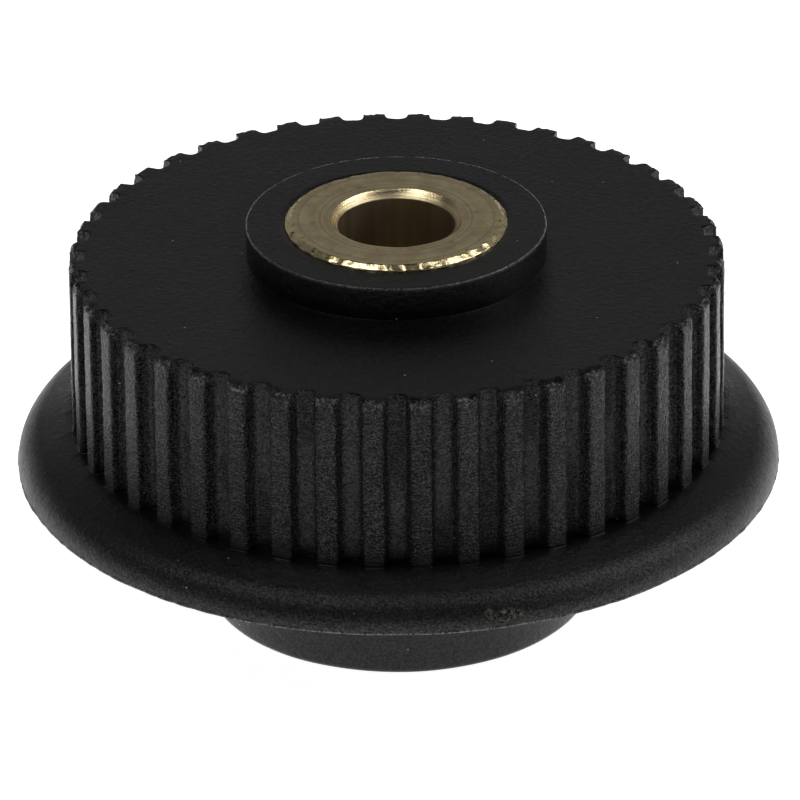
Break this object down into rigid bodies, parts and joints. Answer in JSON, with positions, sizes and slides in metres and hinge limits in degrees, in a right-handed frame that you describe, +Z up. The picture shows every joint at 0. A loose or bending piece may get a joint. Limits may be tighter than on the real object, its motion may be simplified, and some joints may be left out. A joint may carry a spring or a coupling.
{
  "type": "timing belt pulley",
  "caption": "Moulded black plastic timing belt pulley with one flange, a plain hub and a turned brass bore insert.",
  "frame": {"origin": "centre of the insert's lower end face, on the bore axis", "axes": "+Z up the bore axis from the hub's end to the boss's end; the middle of a tooth groove faces -Y"},
  "size_m": [0.0328, 0.0328, 0.0178],
  "materials": {
    "black_plastic": "matt, glass-filled, moulded",
    "turned_brass": "turned, slightly tarnished"
  },
  "bodies": {
    "root": {"pulley_moulding": "black_plastic", "bore_insert": "turned_brass"}
  },
  "joints": []
}
